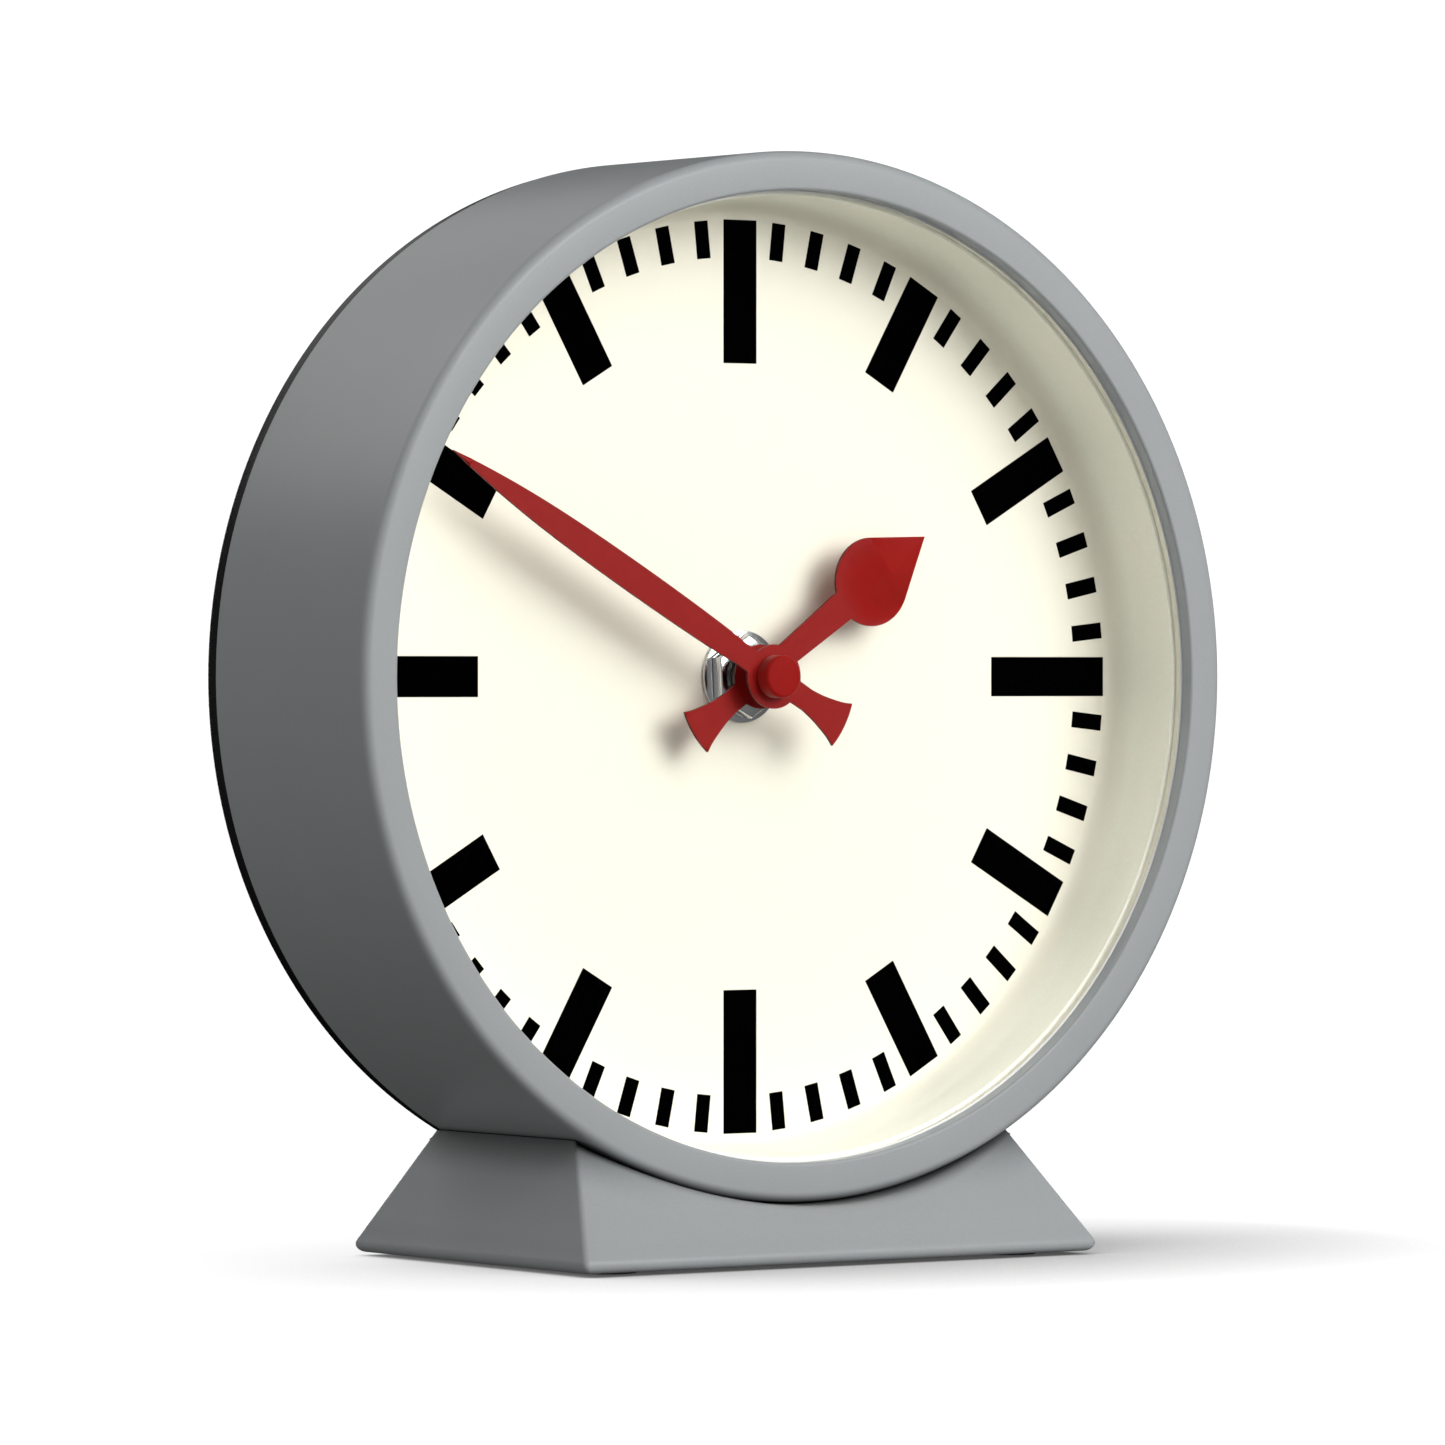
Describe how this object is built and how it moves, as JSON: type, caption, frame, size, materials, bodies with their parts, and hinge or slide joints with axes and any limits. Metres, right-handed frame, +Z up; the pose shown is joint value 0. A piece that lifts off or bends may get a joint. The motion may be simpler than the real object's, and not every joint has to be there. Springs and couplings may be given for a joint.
{
  "type": "desk clock",
  "caption": "Round analogue desk clock on a wedge-shaped saddle base: grey drum case, ivory dial with bar marks, red hands, black rear cover and a battery quartz movement.",
  "frame": {"origin": "centre of the base's outline, on the table under the rubber feet", "axes": "+Z up, -Y out of the dial towards the reader, +X to the reader's right"},
  "size_m": [0.175, 0.0702, 0.185],
  "materials": {
    "grey_case": "smooth satin grey",
    "black_plastic": "moulded black",
    "cream_plastic": "plain cream",
    "dial_print": "printed in black on ivory",
    "red_paint": "satin red enamel",
    "red_cap": "satin red",
    "bright_metal": "nickel plated",
    "brass": "stamped",
    "steel": "plain",
    "copper_wire": "enamelled copper wire",
    "white_nylon": "moulded",
    "clear_glass": "clear and polished",
    "black_rubber": "matte",
    "board_green": "solder mask",
    "cell_wrap": "dark printed wrap"
  },
  "bodies": {
    "clock_body": {"case_drum": "grey_case", "base_shell": "grey_case", "base_plate": "black_plastic", "rubber_foot_1": "black_rubber", "rubber_foot_2": "black_rubber", "rubber_foot_3": "black_rubber", "rubber_foot_4": "black_rubber", "cover_screw_1": "steel", "cover_screw_2": "steel", "cover_screw_3": "steel", "cover_screw_4": "steel", "saddle_screw_1": "steel", "saddle_screw_2": "steel", "plate_screw_1": "steel", "plate_screw_2": "steel", "lens_glass": "clear_glass", "reflector_ring": "cream_plastic", "dial_plate": "dial_print", "rear_cover": "black_plastic", "rubber_washer": "black_rubber", "dial_washer": "bright_metal", "dial_nut": "bright_metal", "movement_front": "black_plastic", "threaded_bush": "bright_metal", "movement_rear": "black_plastic", "train_plate": "white_nylon", "stator_plate": "steel", "coil_core": "steel", "coil_bobbin": "white_nylon", "coil_winding": "copper_wire", "circuit_board": "board_green", "chip_cover": "black_plastic", "quartz_crystal": "bright_metal", "positive_contact": "bright_metal", "negative_contact": "bright_metal"},
    "minute_group": {"minute_arbor": "steel", "centre_wheel": "brass", "minute_hand": "red_paint", "hand_cap": "red_cap"},
    "hour_group": {"hour_wheel": "black_plastic", "hour_hand": "red_paint"},
    "minute_wheel_group": {"minute_wheel": "white_nylon"},
    "setting_group": {"setting_shaft": "white_nylon", "setting_knob": "black_plastic"},
    "third_group": {"third_wheel": "white_nylon"},
    "seconds_group": {"seconds_wheel": "white_nylon"},
    "intermediate_group": {"intermediate_wheel": "white_nylon"},
    "rotor_group": {"rotor_arbor": "steel", "rotor_magnet": "steel"},
    "battery_group": {"battery_cell": "cell_wrap"}
  },
  "joints": [
    {"name": "minute_turn", "type": "hinge", "parent": "clock_body", "child": "minute_group", "pos_m": [0, -0.00419, 0.0975], "axis": [0, 1, 0], "continuous": true},
    {"name": "hour_turn", "type": "hinge", "parent": "clock_body", "child": "hour_group", "pos_m": [0, -0.00419, 0.0975], "axis": [0, 1, 0], "continuous": true},
    {"name": "minute_wheel_turn", "type": "hinge", "parent": "clock_body", "child": "minute_wheel_group", "pos_m": [-0.00752, -0.00419, 0.09476], "axis": [0, 1, 0], "continuous": true},
    {"name": "setting_turn", "type": "hinge", "parent": "clock_body", "child": "setting_group", "pos_m": [-0.01552, -0.00419, 0.09476], "axis": [0, 1, 0], "continuous": true},
    {"name": "third_turn", "type": "hinge", "parent": "clock_body", "child": "third_group", "pos_m": [-0.00579, -0.00419, 0.10439], "axis": [0, 1, 0], "continuous": true},
    {"name": "seconds_turn", "type": "hinge", "parent": "clock_body", "child": "seconds_group", "pos_m": [0, -0.00419, 0.0975], "axis": [0, 1, 0], "continuous": true},
    {"name": "intermediate_turn", "type": "hinge", "parent": "clock_body", "child": "intermediate_group", "pos_m": [0.00774, -0.00419, 0.10292], "axis": [0, 1, 0], "continuous": true},
    {"name": "rotor_turn", "type": "hinge", "parent": "clock_body", "child": "rotor_group", "pos_m": [0.01611, -0.00419, 0.10365], "axis": [0, 1, 0], "continuous": true},
    {"name": "battery_lift", "type": "slide", "parent": "clock_body", "child": "battery_group", "axis": [0, 1, 0], "range_m": [0, 0.025]}
  ],
  "couplings": [
    {"joint": "hour_turn", "follows": "minute_turn", "ratio": 0.083333},
    {"joint": "minute_wheel_turn", "follows": "minute_turn", "ratio": -0.33333},
    {"joint": "setting_turn", "follows": "minute_turn", "ratio": 1},
    {"joint": "third_turn", "follows": "minute_turn", "ratio": -8},
    {"joint": "seconds_turn", "follows": "minute_turn", "ratio": 60},
    {"joint": "intermediate_turn", "follows": "minute_turn", "ratio": -300},
    {"joint": "rotor_turn", "follows": "minute_turn", "ratio": 1800}
  ]
}
